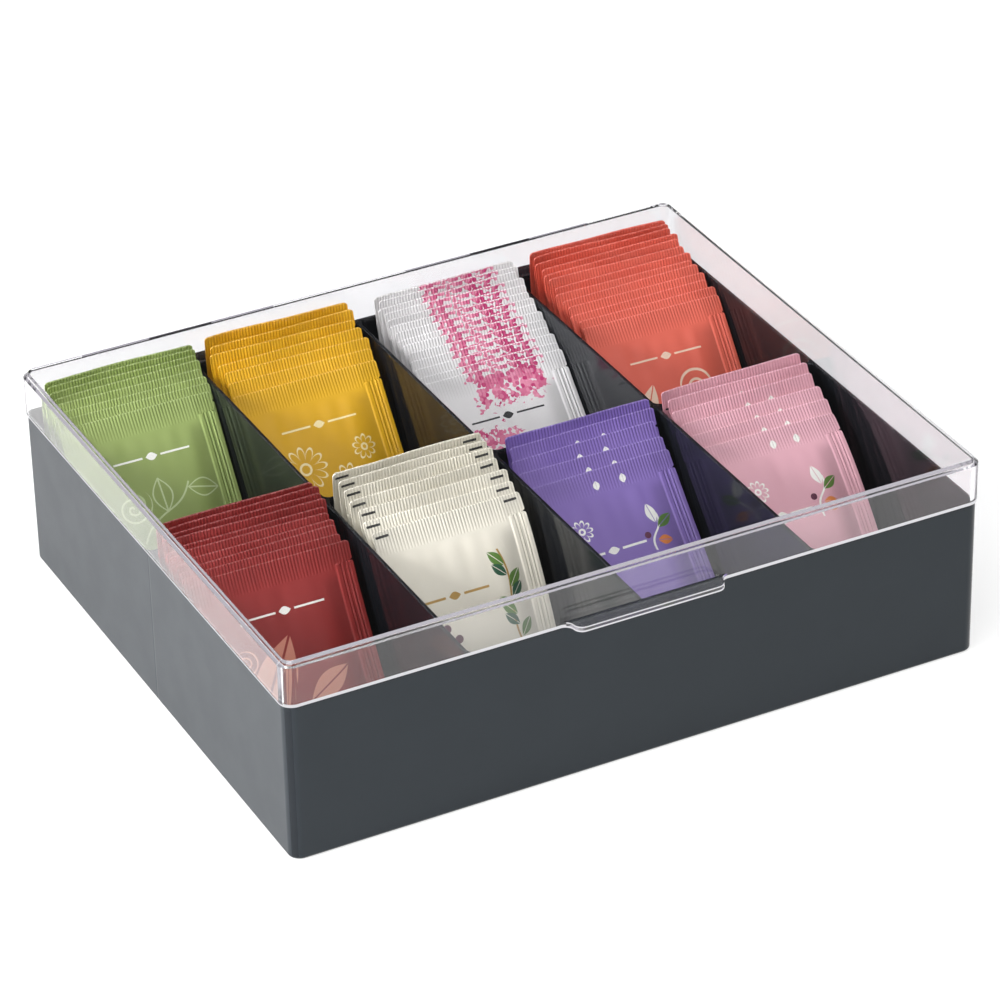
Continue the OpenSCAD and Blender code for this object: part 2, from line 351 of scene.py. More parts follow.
def bumped(tree, height, distance, normal=None):
    """Normal of a surface with a relief of that height."""
    node = add_node(tree, "ShaderNodeBump")
    feed(tree, node, {"Distance": distance, "Height": height})
    if normal is not None:
        feed(tree, node, {"Normal": normal})
    return node.outputs["Normal"]


def new_material(name):
    """An empty material with a Principled shader, its tree and that shader."""
    material = bpy.data.materials.new(name)
    material.use_nodes = True
    tree = material.node_tree
    return material, tree, tree.nodes["Principled BSDF"]


def object_place(tree):
    """The place of a point in the box's own frame, as a vector and as X, Y and Z."""
    place = add_node(tree, "ShaderNodeTexCoord").outputs["Object"]
    return place, split_xyz(tree, place)


def charcoal_plastic(plastics):
    """Dark moulded plastic, satin outside and polished in the compartments, with a faint sink line and a
    painted shadow just under the lid.
    """
    material, tree, surface = new_material("charcoal_tray_plastic")
    place, (x, y, z) = object_place(tree)
    far_x, far_y = (math_node(tree, "ABSOLUTE", value) for value in (x, y))
    on_side = math_node(tree, "GREATER_THAN", far_x, TRAY_HIGH.x - TRAY_SKIN)
    on_front_or_back = math_node(tree, "GREATER_THAN", far_y, -TRAY_LOW.y - TRAY_SKIN)
    outside = math_node(tree, "MAXIMUM", on_side, on_front_or_back)

    # Finish: rougher outside, with a little unevenness in the gloss and the colour
    cloud = noise(tree, place, 60, 3)
    satin = ranged(tree, cloud, 0.3, 0.7, plastics.tray_outside - 0.015, plastics.tray_outside + 0.015)
    polish = ranged(tree, cloud, 0.3, 0.7, plastics.tray_inside - 0.02, plastics.tray_inside + 0.03)
    rough = add_node(tree, "ShaderNodeMix", outside, data_type="FLOAT")
    feed(tree, rough, {2: polish, 3: satin})
    plain = mixed_colour(tree, outside, plastics.tray_polish, plastics.tray_satin)
    shade = mixed_colour(tree, ranged(tree, cloud, 0.25, 0.75, 0.0, 0.08), plain, (0, 0, 0))

    # Relief: the sink line outside the divider across, and the satin's grain
    sink = ranged(tree, far_y, 0.0, SINK_WIDTH)
    sink_or_flat = math_node(tree, "MAXIMUM", sink, math_node(tree, "SUBTRACT", 1.0, on_side))
    moulded = bumped(tree, sink_or_flat, plastics.sink_depth)
    grain = all_of(tree, noise(tree, place, 2600, 1), outside)

    # Painted shadow: no sheen in a narrow band just under the lid
    painted_shadow_under_lid = ranged(tree, z, RIM_Z - 1.0 * MM, RIM_Z - 0.5 * MM, 0.0, 0.9)
    lit = math_node(tree, "SUBTRACT", 1.0, all_of(tree, painted_shadow_under_lid, outside))
    feed(tree, surface, {
        "Base Color": shade,
        "Roughness": rough.outputs[0],
        "Normal": bumped(tree, grain, 0.012 * MM, moulded),
        "IOR": plastics.tray_ior,
        "Specular Tint": plastics.tray_sheen,
        "Specular IOR Level": math_node(tree, "MULTIPLY", lit, 0.5),
    })
    return material


def painted_rim_glow_mask(tree, x, y, z, plastics):
    """1 on the outward faces that show a painted white glow, seen from outside."""
    geometry = add_node(tree, "ShaderNodeNewGeometry").outputs
    nx, ny, nz = split_xyz(tree, geometry["Normal"])
    radial = math_node(tree, "ADD", all_of(tree, nx, x), all_of(tree, ny, y))
    outward = math_node(tree, "GREATER_THAN", radial, 0.0)
    upright = math_node(tree, "LESS_THAN", math_node(tree, "ABSOLUTE", nz), 0.8)
    from_outside = math_node(tree, "SUBTRACT", 1.0, geometry["Backfacing"])

    # A band over the foot, at its full height on the front skirt and at half of it elsewhere
    on_lip = math_node(tree, "LESS_THAN", y, TRAY_LOW.y - LIP_FROM)
    off_lip = math_node(tree, "SUBTRACT", 1.0, on_lip)
    on_front_skirt = all_of(tree, math_node(tree, "LESS_THAN", ny, -0.5), off_lip)
    reach = all_of(tree, math_node(tree, "ADD", on_front_skirt, 1.0), plastics.rim_height / 2)
    over_foot = math_node(tree, "SUBTRACT", z, RIM_Z)
    above = math_node(tree, "GREATER_THAN", over_foot, -0.1 * MM)
    foot = all_of(tree, above, math_node(tree, "LESS_THAN", over_foot, reach))

    lip_edge = math_node(tree, "GREATER_THAN", z, LIP_TOP_Z - LIP_EDGE)
    lit = math_node(tree, "MAXIMUM", foot, all_of(tree, on_lip, lip_edge))
    return all_of(tree, outward, upright, from_outside, lit)


def bevel_from_inside(tree, z):
    """1 on the slopes round the lid's top plate, seen from inside the plastic."""
    geometry = add_node(tree, "ShaderNodeNewGeometry").outputs
    _, _, nz = split_xyz(tree, geometry["True Normal"])
    off_slope = math_node(tree, "SUBTRACT", math_node(tree, "ABSOLUTE", nz), 0.6)
    sloping = math_node(tree, "LESS_THAN", math_node(tree, "ABSOLUTE", off_slope), 0.33)
    at_plate = math_node(tree, "GREATER_THAN", z, LID_HIGH.z - PLATE_BEVEL)
    return all_of(tree, sloping, at_plate, geometry["Backfacing"])


def clear_plastic(plastics):
    """Clear polished plastic that lets the lamps' light through to what lies under it.

    Rays that stay trapped between its faces end in a painted glow, and a painted white glow stands for the
    light coming out along the foot of its skirt and the two edges of the pull lip's end face. The slopes
    round its top plate show a painted dark edge from inside.
    """
    material, tree, surface = new_material("clear_lid_plastic")
    place, (x, y, z) = object_place(tree)
    paler = tuple(min(1.0, c * 1.01) for c in plastics.lid_tint)
    feed(tree, surface, {
        "Base Color": mixed_colour(tree, noise(tree, place, 20, 1), plastics.lid_tint, paler),
        "Roughness": ranged(tree, noise(tree, place, 45, 2), 0.35, 0.75, 0.0, 0.012),
        "IOR": plastics.lid_ior,
        "Transmission Weight": 1.0,
    })
    passing = add_node(tree, "ShaderNodeBsdfTransparent", plastics.lid_tint).outputs[0]
    painted_edge_glow = add_node(tree, "ShaderNodeEmission", plastics.edge_light).outputs[0]
    painted_rim_glow = add_node(tree, "ShaderNodeEmission", plastics.rim_colour).outputs[0]
    painted_dark_edge = add_node(tree, "ShaderNodeEmission", plastics.bevel_colour).outputs[0]
    ray = add_node(tree, "ShaderNodeLightPath").outputs
    # Painted glow: rays that stay in the plastic past five bounces end in an emission of the edge light
    trapped = math_node(tree, "GREATER_THAN", ray["Ray Depth"], 5.5)
    # Painted white glow on the rim along the skirt's foot and on the lip's lit edges
    rim = all_of(tree, painted_rim_glow_mask(tree, x, y, z, plastics), plastics.rim_light)
    # Painted shade: the bevel's slopes show a dark emission from inside in place of what the clear plastic
    # shows
    bevel = all_of(tree, bevel_from_inside(tree, z), plastics.bevel_shade)
    lit_through = math_node(tree, "MAXIMUM", ray["Is Shadow Ray"], ray["Is Diffuse Ray"])
    shown = surface.outputs[0]
    for share, shader in ((trapped, painted_edge_glow), (bevel, painted_dark_edge), (rim, painted_rim_glow), (lit_through, passing)):
        shown = add_node(tree, "ShaderNodeMixShader", share, shown, shader).outputs[0]
    feed(tree, tree.nodes["Material Output"], {"Surface": shown})
    return material


def drawn_steel(plastics):
    """Drawn steel wire with fine lines round it."""
    material, tree, surface = new_material("drawn_pin_steel")
    place, _ = object_place(tree)
    stretched = add_node(tree, "ShaderNodeMapping", place)
    feed(tree, stretched, {"Scale": (1.0, 12.0, 12.0)})
    lines = noise(tree, stretched.outputs[0], 400, 3)
    base = tuple(plastics.pin_colour)
    feed(tree, surface, {
        "Base Color": mixed_colour(tree, lines, tuple(c * 0.85 for c in base), base),
        "Roughness": ranged(tree, lines, 0.3, 0.7, 0.22, 0.38),
        "Normal": bumped(tree, lines, 0.01 * MM),
        "Metallic": 1.0,
    })
    return material


class Print:
    """Flat shapes printed on a sachet, placed in millimetres from its lower left corner.

    Each method gives a mask that is 1 inside the shape and 0 outside it.
    """

    def __init__(self, tree, sizes):
        self.tree = tree
        sheet = add_node(tree, "ShaderNodeUVMap", uv_map=SHEET_MAP).outputs[0]
        size = (sizes.width / MM, sizes.height / MM, 0)
        self.place = add_node(tree, "ShaderNodeVectorMath", sheet, size, operation="MULTIPLY").outputs[0]

    def math(self, *values):
        return math_node(self.tree, *values)

    def local(self, at, turn, length, width):
        """X and Y in a frame at a point, turned by degrees, in units of a length and a width."""
        node = add_node(self.tree, "ShaderNodeMapping", self.place, vector_type="TEXTURE")
        rotation = (0, 0, math.radians(turn))
        feed(self.tree, node, {"Location": (*at, 0), "Rotation": rotation, "Scale": (length, width, 1)})
        x, y, _ = split_xyz(self.tree, node.outputs[0])
        return x, y

    def both(self, a, b):
        return self.math("MULTIPLY", a, b)

    def any_of(self, masks):
        joined = masks[0]
        for mask in masks[1:]:
            joined = self.math("MAXIMUM", joined, mask)
        return joined

    def near(self, value, middle, reach):
        """1 where a value is within reach of the middle."""
        return self.math("LESS_THAN", self.math("ABSOLUTE", self.math("SUBTRACT", value, middle)), reach)

    def bar(self, at, turn, length, thickness):
        x, y = self.local(at, turn, length, thickness)
        return self.both(self.near(x, 0.5, 0.5), self.near(y, 0.0, 0.5))

    def lens(self, at, turn, length, width):
        """How deep a point lies in a leaf's outline: 0 on its edge and 1 on its middle line."""
        x, y = self.local(at, turn, length, width / 2)
        edge = self.math("SINE", self.math("MULTIPLY", self.math("ADD", x, 0.0, True), math.pi))
        return self.math("SUBTRACT", edge, self.math("ABSOLUTE", y)), y

    def leaf(self, at, turn, length, width, rib=0.07):
        """A filled leaf with its middle rib left open."""
        depth, y = self.lens(at, turn, length, width)
        open_rib = self.math("GREATER_THAN", self.math("ABSOLUTE", y), rib)
        return self.both(self.math("GREATER_THAN", depth, 0.0), open_rib)

    def leaf_line(self, at, turn, length, width, line=0.16):
        """A leaf drawn in outline with its middle rib."""
        depth, y = self.lens(at, turn, length, width)
        inside = self.math("GREATER_THAN", depth, 0.0)
        border = self.math("LESS_THAN", depth, line)
        return self.both(inside, self.any_of([border, self.near(y, 0.0, line / 2)]))

    def stem(self, at, turn, length, bend, thickness):
        """A stem that waves once to each side over its length."""
        x, y = self.local(at, turn, length, 1.0)
        wave = self.math("MULTIPLY", self.math("SINE", self.math("MULTIPLY", x, 2 * math.pi)), bend)
        offset = self.math("SUBTRACT", y, wave)
        return self.both(self.near(x, 0.5, 0.5), self.near(offset, 0.0, thickness / 2))

    def polar(self, at, turn, radius):
        """Distance from a point in units of a radius, and the angle as a share of a turn."""
        x, y = self.local(at, turn, radius, radius)
        squares = self.math("ADD", self.math("MULTIPLY", x, x), self.math("MULTIPLY", y, y))
        angle = self.math("DIVIDE", self.math("ARCTAN2", y, x), 2 * math.pi)
        return self.math("SQRT", squares), angle

    def dot(self, at, radius):
        far, _ = self.polar(at, 0, radius)
        return self.math("LESS_THAN", far, 1.0)

    def curl(self, at, turn, radius, turns=2.0, line=0.13):
        """A spiral line round a point."""
        far, angle = self.polar(at, turn, radius)
        phase = self.math("FRACT", self.math("SUBTRACT", self.math("MULTIPLY", far, turns), angle))
        off_middle = self.math("ABSOLUTE", self.math("SUBTRACT", phase, 0.5))
        on_line = self.math("GREATER_THAN", off_middle, 0.5 - line)
        return self.both(on_line, self.math("LESS_THAN", far, 1.0))

    def daisy(self, at, radius, petals, line=0.05):
        """A daisy in outline: round petals and a ring at its heart."""
        far, angle = self.polar(at, 0, radius)
        swing = self.math("ABSOLUTE", self.math("COSINE", self.math("MULTIPLY", angle, petals * math.pi)))
        edge = self.math("ADD", self.math("MULTIPLY", self.math("SQRT", swing), 0.6), 0.38)
        outline = self.near(self.math("SUBTRACT", far, edge), 0.0, line)
        return self.any_of([outline, self.near(far, 0.24, line)])

    def painted(self, base, *layers):
        """Colour base with layers over it, each a list of masks and their ink."""
        for masks, ink in layers:
            base = mixed_colour(self.tree, self.any_of(masks), base, ink)
        return base


WHITE_INK = (0.86, 0.87, 0.80)
BLACK_INK = (0.02, 0.02, 0.022)
CREAM_INK = (0.84, 0.62, 0.46)
SAND_INK = (0.62, 0.25, 0.17)
MINT_INK = (0.52, 0.62, 0.33)
LEMON_INK = (0.95, 0.80, 0.42)
GOLD_INK = (0.42, 0.26, 0.07)
LEAF_INK = (0.09, 0.20, 0.03)
DARK_LEAF_INK = (0.02, 0.09, 0.045)
ORANGE_INK = (0.72, 0.24, 0.06)
PLUM_INK = (0.09, 0.015, 0.04)
MAGENTA_INK = (0.50, 0.015, 0.14)
ROSE_INK = (0.80, 0.30, 0.42)


def rule(sheet, middle=(33, 59), reach=17, thickness=0.8):
    """A plain rule with a diamond at its middle."""
    x, y = middle
    return sheet.any_of([
        sheet.bar((x - reach, y), 0, reach - 4, thickness),
        sheet.bar((x + 4, y), 0, reach - 4, thickness),
        sheet.leaf((x - 2.6, y), 0, 5.2, 3.2, 0),
    ])


def print_green(sheet, base):
    """A rule over outlined leaves on a curved stem."""
    leaves = [
        sheet.stem((22, 26), 40, 30, 1.6, 0.8),
        sheet.leaf_line((33, 35), 92, 15, 9),
        sheet.leaf_line((44, 43), -12, 14, 8),
        sheet.curl((21, 41), 0, 6.5),
    ]
    return sheet.painted(base, (leaves, MINT_INK), ([rule(sheet)], WHITE_INK))


def print_yellow(sheet, base):
    """A rule over daisies in outline."""
    masks = [
        rule(sheet),
        sheet.daisy((21, 42), 9.5, 12),
        sheet.daisy((38, 33), 7.0, 10, 0.07),
        sheet.daisy((49, 45), 5.2, 9, 0.08),
    ]
    return sheet.painted(base, (masks, LEMON_INK))


def print_red(sheet, base):
    """A rule over two curls and a leaf."""
    masks = [
        rule(sheet),
        sheet.curl((43, 43), 180, 8.5, 2.0),
        sheet.curl((30, 33), 60, 5.5, 1.5, 0.16),
        sheet.leaf((13, 30), 62, 21, 8),
    ]
    return sheet.painted(base, (masks, CREAM_INK))


def print_maroon(sheet, base):
    """A rule over a broad leaf with a smaller one beside it."""
    leaves = [
        sheet.leaf((14, 21), 58, 34, 14),
        sheet.leaf((33, 24), 28, 22, 9),
        sheet.curl((14, 44), 90, 5.2),
    ]
    return sheet.painted(base, (leaves, SAND_INK), ([rule(sheet)], WHITE_INK))


def print_white(sheet, base):
    """Petals scattered down from the top on the right, a rule, and a loose cluster low on the left."""
    tree = sheet.tree
    x, y = sheet.local((0, 0), 0, 1, 1)
    ragged = sheet.math("MULTIPLY", sheet.math("SUBTRACT", noise(tree, sheet.place, 0.35), 0.5), 22)
    spray = sheet.both(
        sheet.near(sheet.math("ADD", x, ragged), 38, 16),
        sheet.math("GREATER_THAN", sheet.math("ADD", y, ragged), 63),
    )
    cluster = sheet.both(
        sheet.near(sheet.math("ADD", x, ragged), 24, 10),
        sheet.near(sheet.math("SUBTRACT", y, ragged), 45, 7),
    )
    place = sheet.any_of([spray, cluster])
    layers = []
    for scale, reach in ((0.22, 0.52), (0.42, 0.42)):
        cells = add_node(tree, "ShaderNodeTexVoronoi", sheet.place, voronoi_dimensions="2D")
        feed(tree, cells, {"Scale": scale})
        tone = add_node(tree, "ShaderNodeSeparateColor", cells.outputs["Color"]).outputs[0]
        petal = sheet.both(place, sheet.math("LESS_THAN", cells.outputs["Distance"], reach))
        layers.append(([petal], mixed_colour(tree, tone, MAGENTA_INK, ROSE_INK)))
    return sheet.painted(base, *layers, ([rule(sheet, (32, 57))], BLACK_INK))


def print_cream(sheet, base):
    """A vine with leaves on the right, berries on the left, a rule and register ticks at the top corners."""
    x, y = 50, 22
    vine = [sheet.stem((x, y), 92, 38, 1.5, 0.9), rule(sheet, (26, 47), 15, 1.0)]
    light = [sheet.leaf((x, y + 4 + 9 * k), 90 - 42 * (-1) ** k, 9, 4.6) for k in range(4)]
    dark = [sheet.leaf((x, y + 9 + 9 * k), 90 + 46 * (-1) ** k, 8, 4.2) for k in range(3)]
    berries = [sheet.dot((15 + 4 * k, 28 + 7 * (k % 2) + 2 * k), 1.7) for k in range(3)]
    ticks = [sheet.bar((1.0, 76.6), 0, 6, 1.0), sheet.bar((58, 76.6), 0, 6, 1.0)]
    leaves = (light, LEAF_INK), (dark, DARK_LEAF_INK)
    return sheet.painted(base, (vine, GOLD_INK), *leaves, (berries, PLUM_INK), (ticks, BLACK_INK))


def sprig(sheet, x, y):
    """Layers of a small sprig: a white, a green and an orange leaf on a white stem, with a berry."""
    return (
        ([sheet.stem((x, y), 70, 16, 1.2, 0.9)], WHITE_INK),
        ([sheet.leaf((x + 4, y + 11), 100, 9, 4.6)], WHITE_INK),
        ([sheet.leaf((x + 4, y + 9), 30, 9, 4.4)], LEAF_INK),
        ([sheet.leaf((x + 2, y + 4), -10, 7, 4)], ORANGE_INK),
        ([sheet.dot((x - 1.5, y + 7), 1.4)], PLUM_INK),
    )


def print_purple(sheet, base):
    """A sprig on the right, a rule, a daisy and two small diamonds on the crimped band."""
    masks = [sheet.leaf((30 + 12 * k, 70.5), 90, 4, 3, 0) for k in range(2)]
    masks += [rule(sheet, (27, 45), 15, 1.0), sheet.daisy((17, 56), 4.6, 10, 0.09)]
    return sheet.painted(base, (masks, WHITE_INK), *sprig(sheet, 45, 40))


def print_pink(sheet, base):
    """A sprig on the right, a rule, a daisy, two small diamonds and a register tick."""
    masks = [sheet.leaf((34 + 11 * k, 70.5), 90, 4, 3, 0) for k in range(2)]
    masks += [rule(sheet, (25, 43), 14, 1.0), sheet.daisy((19, 55), 4.6, 10, 0.09)]
    tick = [sheet.bar((1.0, 71.5), 0, 5, 0.8)]
    return sheet.painted(base, (masks, WHITE_INK), (tick, BLACK_INK), *sprig(sheet, 43, 40))


PRINTS = {
    "green": print_green,
    "yellow": print_yellow,
    "white": print_white,
    "red": print_red,
    "maroon": print_maroon,
    "cream": print_cream,
    "purple": print_purple,
    "pink": print_pink,
}


def printed_paper(name, base, sizes):
    """Coated satin paper in one colour with its own print and painted shade, paler along its cut top edge.
    """
    material, tree, surface = new_material(f"{name}_printed_paper")
    place, (_, _, z) = object_place(tree)
    sheet = Print(tree, sizes)
    # Painted shade: the tone makes the rear sachets of a row darker, with a random share per sachet, between
    # a shaded and a lit copy of the paper's colour
    tone = add_node(tree, "ShaderNodeAttribute", attribute_name=ROW_SHADE_AND_TONE).outputs["Fac"]
    cloud = noise(tree, place, 90, 3)
    lit_copy = tuple(min(1.0, c * 1.03 + 0.002) for c in base)
    shaded_copy = tuple(c**1.3 for c in base)
    shade_and_tone = ranged(tree, math_node(tree, "ADD", tone, cloud), 0.2, 1.4)
    plain = mixed_colour(tree, shade_and_tone, shaded_copy, lit_copy)
    printed = PRINTS[name](sheet, plain)
    across, up = sheet.local((0, 0), 0, sizes.width / MM, sizes.height / MM)
    seal_from = 1 - sizes.seal_w / sizes.width

    # Painted shade on the crimped top, in the fold beside the side seal and down in the compartment
    pressed = ranged(tree, up, TOP_CRIMP - 0.01, 0.97, 0.0, 0.2)
    painted_fold_shade = ranged(tree, across, seal_from - 0.15, seal_from - 0.01, 0.0, sizes.fold_shade)
    before_seal = math_node(tree, "LESS_THAN", across, seal_from)
    folded = all_of(tree, painted_fold_shade, before_seal, ranged(tree, up, 0.8, 0.88, 1.0, 0.0))
    deep = ranged(tree, z, FOOT_Z, TRAY_HIGH.z - 4 * MM, sizes.depth_shade, 0.0)
    for share in (pressed, folded, deep):
        printed = mixed_colour(tree, share, printed, tuple(0.1 * c for c in base))

    # The cut top edge, a pale band broken into strokes: part bare paper and part painted highlight
    broken = ranged(tree, noise(tree, sheet.place, 0.9, 1), 0.38, 0.6, 0.15, 0.85)
    pale_edge_and_highlight = all_of(tree, ranged(tree, up, 0.992, 0.997), broken)
    bare_paper_and_highlight = tuple(min(1.0, 1.12 * c + 0.09) for c in base)
    feed(tree, surface, {
        "Base Color": mixed_colour(tree, pale_edge_and_highlight, printed, bare_paper_and_highlight),
        "Roughness": ranged(tree, cloud, 0.3, 0.7, 0.38, 0.5),
        "Specular IOR Level": 0.28,
        "Normal": bumped(tree, noise(tree, place, 1500, 2), 0.015 * MM),
    })
    return material


def ramp(values, low, high):
    """0 at low and 1 at high, in even steps between them and level beyond."""
    return np.clip((values - low) / (high - low), 0, 1)


def smooth_step(values, low, high):
    """A ramp with eased ends."""
    share = ramp(values, low, high)
    return share * share * (3 - 2 * share)


def waves(values, rng, rates):
    """A sum of waves with chosen rates and random starts."""
    return sum(np.cos(2 * math.pi * (rate * values + rng.random())) for rate in rates) / len(rates)


def height_steps(panel_rows):
    """Shares of a sachet's height where its grid has a row of points."""
    foot = [0.0, 0.012, FOOT_CRIMP / 2, FOOT_CRIMP - 0.01, FOOT_CRIMP + 0.005]
    panel = list(np.linspace(FOOT_CRIMP + 0.03, TOP_CRIMP - 0.04, panel_rows))
    neck = [TOP_CRIMP - 0.02, TOP_CRIMP - 0.005, TOP_CRIMP + 0.005]
    notch = [NOTCH_AT - NOTCH_REACH, NOTCH_AT, NOTCH_AT + NOTCH_REACH]
    band = [0.93, 0.96, 0.985, 0.994, 1.0]
    return np.array(foot + panel + neck + notch + band)


def sachet_points(name, i, sizes, panel_rows):
    """Front and back points of sachet i of a row, with their places on the sheet, as grids."""
    row = ROWS[name]
    is_front = i == row.count - 1
    rng = random.Random(f"{sizes.seed} {name} {i}")
    ribs = round(sizes.width / sizes.rib_pitch)
    across = np.linspace(0, 1, 2 * ribs + 1)
    heights = height_steps(panel_rows)
    u, t = np.meshgrid(across, heights)

    # Thickness: flat at the crimped ends and the side seal, full in the middle
    fullness = np.sin(math.pi * ramp(heights, FOOT_CRIMP, TOP_CRIMP) ** 0.7) ** 0.9
    room = np.minimum(sizes.bulge_t, row.room(i, heights, sizes))
    swell = np.maximum(0, room - sizes.crimp_t) * fullness
    seal_from = 1 - sizes.seal_w / sizes.width
    fill = smooth_step(u, 0.0, 0.24) * (1 - smooth_step(u, 0.7, seal_from - 0.005))
    half = (sizes.crimp_t + swell[:, None] * fill) / 2

    # Relief that both faces share: the crimps' ribs, a curled corner, the side seal's fall and a bent top
    in_top = smooth_step(t, TOP_CRIMP - 0.004, TOP_CRIMP + 0.008)
    in_foot = 1 - smooth_step(t, FOOT_CRIMP - 0.012, FOOT_CRIMP - 0.002)
    sign = np.where(np.arange(len(across)) % 2 == 0, 1.0, -1.0)
    uneven = 0.8 + 0.2 * waves(across, rng, (7.3, 11.9))
    press = np.maximum(in_top * (0.45 + 0.55 * smooth_step(t, 0.88, 0.99)), 0.45 * in_foot)
    shared = sizes.rib_depth * sign * uneven * press
    curl = sizes.curl * rng.uniform(0.2, 1.0)
    shared = shared + curl * ramp(u, 0.2, 0.0) ** 2 * ramp(t, 0.8, 1.0) ** 2
    fall = sizes.seal_bend * row.along(i) * np.clip(u - seal_from + 0.015, 0, None) * sizes.width
    shared = shared - fall * smooth_step(t, 0.0, 0.25)
    bend = 0.5 * sizes.curl * waves(u, rng, (0.6, 1.3)) + rng.uniform(-0.4, 0.4) * MM
    shared = shared + bend * ramp(t, 0.75, 1.0) ** 2

    # Relief of the front panel: folds below the crimp, soft dents, and the side seal with its grooves
    amount = 1.0 if is_front else 0.5
    below = np.clip((TOP_CRIMP + 0.002 - t) / 0.08, 0, None)
    pucker = sizes.pucker * amount * waves(u, rng, (3.1, 5.3, 7.9)) * below * np.exp(1 - below) * fill
    dents = sizes.dent * amount * waves(u + 0.6 * t, rng, (1.1, 2.3)) * waves(t, rng, (1.4, 2.6)) * fill
    puff = sizes.puff * fill if is_front else 0.0
    panel = pucker + (dents + puff) * fullness[:, None]
    below_notch = (t < NOTCH_AT - NOTCH_REACH / 2) & (t > FOOT_CRIMP)
    from_edge = (1 - u) * sizes.width
    on_seal = below_notch & (from_edge < sizes.seal_w)
    off_groove = np.minimum.reduce([np.abs(from_edge - groove) for groove in SEAL_GROOVES])
    in_groove = off_groove < sizes.rib_pitch * 0.26
    seal = np.where(on_seal, np.where(in_groove, -0.2 * sizes.seal_t, sizes.seal_t), 0.0)

    # Places across and up the sachet, with the tear notch and the worn top corners
    notch = sizes.notch * ramp(np.abs(t - NOTCH_AT), NOTCH_REACH, 0.0)
    x = (u - 0.5) * sizes.width - notch * ramp(u, 0.95, 1.0)
    worn = ramp(np.minimum(u, 1 - u) * sizes.width, CORNER_WIDTH, 0.0) ** 2
    drop = CORNER_DROP * worn * smooth_step(t, 0.96, 1.0)
    roll = math.radians(rng.uniform(-MOST_ROLL, MOST_ROLL))
    slip = rng.uniform(-MOST_SLIP, MOST_SLIP) + abs(roll) * sizes.width / 2
    up, out = row.lean(i, sizes)
    along = roll * x + slip - drop
    x = x - 0.5 * roll * (t - 0.5) * sizes.height + row.middle_x(sizes)
    free_room = 1 - abs(row.side)
    shift = 0.137 * math.sin(math.radians(137 * i)) + rng.uniform(-0.45, 0.45) * free_room
    x = x + shift * sizes.side_room

    centre = row.centre(i, heights, sizes)[:, None, :]
    faces = []
    for offset in (half + shared + panel + seal, -half + shared):
        yz = centre + offset[..., None] * out + along[..., None] * up
        faces.append(np.dstack([x, yz[..., 0], yz[..., 1]]))
    # Painted shade: the tone darkens the rear sachets of the row, with a random share for each
    tone = 0.8 * row.along(i) + 0.2 * rng.random()
    return faces[0], faces[1], np.dstack([u, t]), tone


def sachet_quads(rows, columns):
    """Quads of a closed shell: a front grid, a back grid and the four cut edges between them."""
    front = np.arange(rows * columns).reshape(rows, columns)
    back = front + rows * columns

    def strip(a, b, c, d):
        return np.stack([a, b, c, d], axis=-1).reshape(-1, 4)

    return np.concatenate([
        strip(front[:-1, :-1], front[:-1, 1:], front[1:, 1:], front[1:, :-1]),
        strip(back[:-1, :-1], back[1:, :-1], back[1:, 1:], back[:-1, 1:]),
        strip(front[0, :-1], back[0, :-1], back[0, 1:], front[0, 1:]),
        strip(front[-1, :-1], front[-1, 1:], back[-1, 1:], back[-1, :-1]),
        strip(front[:-1, 0], front[1:, 0], back[1:, 0], back[:-1, 0]),
        strip(front[:-1, -1], back[:-1, -1], back[1:, -1], front[1:, -1]),
    ])


def sachet_mesh(name, row_name, indices, sizes, panel_rows):
    """One mesh with the chosen sachets of a row, each a closed shell of its own."""
    points, quads, sheet, tones = [], [], [], []
    for i in indices:
        front, back, place, tone = sachet_points(row_name, i, sizes, panel_rows)
        rows, columns = front.shape[:2]
        start = sum(len(p) for p in points)
        points += [front.reshape(-1, 3), back.reshape(-1, 3)]
        quads.append(sachet_quads(rows, columns) + start)
        sheet += [place.reshape(-1, 2)] * 2
        tones.append(np.full(2 * rows * columns, tone))
    corners = np.concatenate(quads)
    corner_places = np.concatenate(sheet)[corners]
    mesh = bpy.data.meshes.new(name)
    mesh.from_pydata(np.concatenate(points).tolist(), [], corners.tolist())
    mesh.uv_layers.new(name=SHEET_MAP).data.foreach_set("uv", corner_places.ravel())
    mesh.attributes.new(ROW_SHADE_AND_TONE, "FLOAT", "POINT").data.foreach_set("value", np.concatenate(tones))
    across, up = np.moveaxis(corner_places, -1, 0)
    ribbed = (up.min(axis=1) > TOP_CRIMP) | (up.max(axis=1) < FOOT_CRIMP)
    sealed = across.min(axis=1) > 1 - sizes.seal_w / sizes.width - 0.01
    mesh.polygons.foreach_set("use_smooth", ~(ribbed | sealed))
    return mesh


def dress(node, material):
    """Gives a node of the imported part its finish."""
    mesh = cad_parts[node].data
    mesh.materials.clear()
    mesh.materials.append(material)


def break_edges(node, width):
    """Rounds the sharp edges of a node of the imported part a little, as a mould leaves them."""
    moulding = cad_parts[node]
    weld = moulding.modifiers.new("joined_points", "WELD")
    weld.merge_threshold = 0.001 * MM
    rounding = moulding.modifiers.new("broken_edges", "BEVEL")
    rounding.width = width
    rounding.segments = 2
    rounding.limit_method = "ANGLE"
    rounding.angle_limit = math.radians(40)
    shading = moulding.modifiers.new("even_shading", "WEIGHTED_NORMAL")
    shading.keep_sharp = False


def add_object(name, data):
    """A new object in the scene."""
    thing = bpy.data.objects.new(name, data)
    bpy.context.scene.collection.objects.link(thing)
    return thing


class TEABOX_OT_tray(bpy.types.Operator):
    """Finish the charcoal tray"""

    bl_idname = "tea_box.tray"
    bl_label = "Tray"

    def execute(self, context):
        plastics = context.scene.tea_box_plastics
        dress("tray", charcoal_plastic(plastics))
        break_edges("tray", plastics.edge_break)
        return {"FINISHED"}


